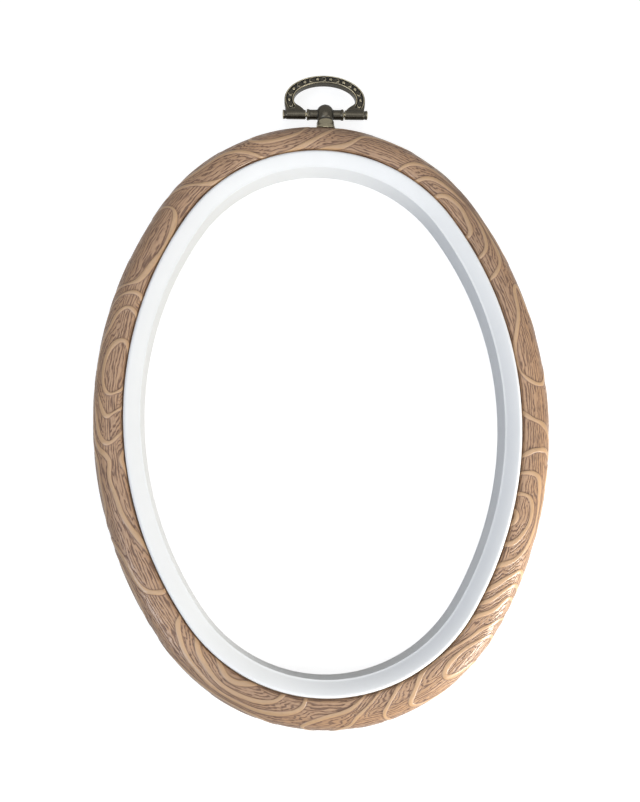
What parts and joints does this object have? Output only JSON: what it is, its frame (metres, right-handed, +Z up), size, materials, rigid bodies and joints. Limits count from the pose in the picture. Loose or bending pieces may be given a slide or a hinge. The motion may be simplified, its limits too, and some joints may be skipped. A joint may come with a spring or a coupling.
{
  "type": "embroidery hoop",
  "caption": "Oval embroidery hoop: a soft wood-grain outer ring stretched round a rigid white inner ring, with a cast metal bow to hang it by.",
  "frame": {"origin": "bottom centre of the whole object's box, with the hoop lying on its back", "axes": "+X across the hoop, +Y along it towards the hanging bow, +Z up out of its front"},
  "size_m": [0.1444, 0.2114, 0.0113],
  "materials": {
    "white_plastic": "smooth moulded white, soft gloss",
    "wood_vinyl": "soft vinyl with a moulded wood grain, wiped with brown stain, semi-gloss",
    "aged_brass": "cast, darkened, worn bright on its edges",
    "fixing_steel": "plain plated steel"
  },
  "bodies": {
    "inside": {"inner_ring": "white_plastic"},
    "rim": {"outer_ring": "wood_vinyl", "hanger_post": "aged_brass", "hinge_pin": "aged_brass", "fixing_screw": "fixing_steel", "fixing_washer": "fixing_steel"},
    "bow": {"hanger_bow": "aged_brass"}
  },
  "joints": [
    {"name": "rim_off", "type": "slide", "parent": "inside", "child": "rim", "axis": [0, 0, 1], "range_m": [0, 0.014]},
    {"name": "bow_swing", "type": "hinge", "parent": "rim", "child": "bow", "pos_m": [0.0029, 0.0918, 0.0066], "axis": [1, 0, 0], "range_deg": [-135, 135]}
  ]
}
